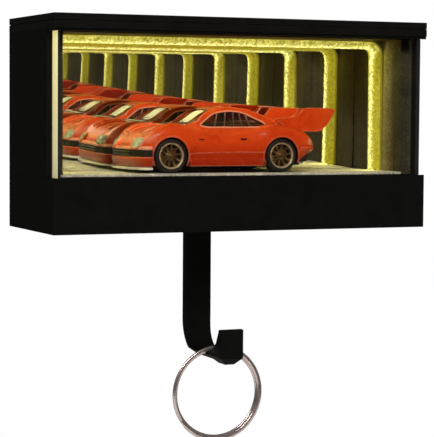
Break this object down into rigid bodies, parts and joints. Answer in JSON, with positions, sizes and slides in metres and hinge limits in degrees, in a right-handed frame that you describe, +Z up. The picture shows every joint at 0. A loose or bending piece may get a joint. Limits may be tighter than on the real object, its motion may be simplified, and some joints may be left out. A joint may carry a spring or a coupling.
{
  "type": "curio cabinet",
  "caption": "Small wall-hung display cabinet with a lit mirror tunnel behind a sliding front pane, one model car inside and a key hook below with a split ring.",
  "frame": {"origin": "centre of the back panel's rear face, on the wall", "axes": "+X to the right seen from the front, +Y into the wall, +Z up"},
  "size_m": [0.1208, 0.0436, 0.1294],
  "materials": {
    "case_black": "satin, fine layer lines",
    "roof_black": "satin",
    "concrete": "concrete-look print on card",
    "floor_grey": "beige-grey concrete-look print",
    "mirror": "bright silvered acrylic",
    "acrylic": "clear, edge-lit warm",
    "half_mirror": "half-silvered film",
    "tape_black": "black tape",
    "led_tape": "white flexible circuit",
    "led_glow": "yellow phosphor, lit",
    "wire": "insulated wire",
    "battery": "foil pouch",
    "board_green": "solder mask",
    "socket_steel": "bright",
    "switch_black": "satin",
    "hook_black": "matt powder coat",
    "screw_steel": "zinc plated",
    "ring_nickel": "nickel plated",
    "car_orange": "gloss enamel",
    "car_glass": "dark tint",
    "car_lens": "pale lens",
    "car_white": "pale plastic",
    "car_black": "satin",
    "rivet": "bright",
    "rim_bronze": "bronze",
    "tyre": "matt rubber"
  },
  "bodies": {
    "cabinet": {"base_housing": "case_black", "base_cover": "case_black", "back_panel": "case_black", "left_wall": "case_black", "right_wall": "case_black", "left_liner": "concrete", "right_liner": "concrete", "roof_frame": "roof_black", "roof_lid": "roof_black", "top_rail": "case_black", "ceiling_panel": "concrete", "floor_panel": "floor_grey", "back_mirror": "mirror", "led_tape": "led_tape", "led_phosphor": "led_glow", "led_wires": "wire", "battery": "battery", "battery_leads": "wire", "control_board": "board_green", "usb_socket": "socket_steel", "button_switch": "switch_black", "key_hook": "hook_black", "hook_screws": "screw_steel", "cover_screws": "screw_steel", "roof_screws": "screw_steel", "back_screws": "screw_steel"},
    "pane": {"front_pane": "acrylic", "mirror_film": "half_mirror", "pane_trims": "tape_black"},
    "button": {"push_button": "switch_black"},
    "ring": {"key_ring": "ring_nickel"},
    "car": {"car_body": "car_orange", "car_windows": "car_glass", "car_wing": "car_orange", "car_lamps": "car_lens", "car_splitter": "car_white", "car_chassis": "car_black", "car_rivets": "rivet"},
    "front_wheels": {"front_axle": "rivet", "front_rims": "rim_bronze", "front_tyres": "tyre"},
    "rear_wheels": {"rear_axle": "rivet", "rear_rims": "rim_bronze", "rear_tyres": "tyre"}
  },
  "joints": [
    {"name": "pane_slide", "type": "slide", "parent": "cabinet", "child": "pane", "axis": [1, 0, 0], "range_m": [0, 0.1]},
    {"name": "button_press", "type": "slide", "parent": "cabinet", "child": "button", "axis": [-1, 0, 0], "range_m": [0, 0.0008], "stiffness_N_per_m": 600},
    {"name": "ring_swing", "type": "hinge", "parent": "cabinet", "child": "ring", "pos_m": [0, -0.0214, -0.06962], "axis": [1, 0, 0], "range_deg": [-70, 45]},
    {"name": "car_roll", "type": "slide", "parent": "cabinet", "child": "car", "axis": [1, 0, 0], "range_m": [-0.018, 0.016]},
    {"name": "front_axle_spin", "type": "hinge", "parent": "car", "child": "front_wheels", "pos_m": [-0.0208, -0.0208, -0.00935], "axis": [0, 1, 0], "range_deg": [-203, 180]},
    {"name": "rear_axle_spin", "type": "hinge", "parent": "car", "child": "rear_wheels", "pos_m": [0.0152, -0.0208, -0.00935], "axis": [0, 1, 0], "range_deg": [-203, 180]}
  ],
  "couplings": [
    {"joint": "front_axle_spin", "follows": "car_roll", "rad_per_m": 196.08},
    {"joint": "rear_axle_spin", "follows": "car_roll", "rad_per_m": 196.08}
  ]
}
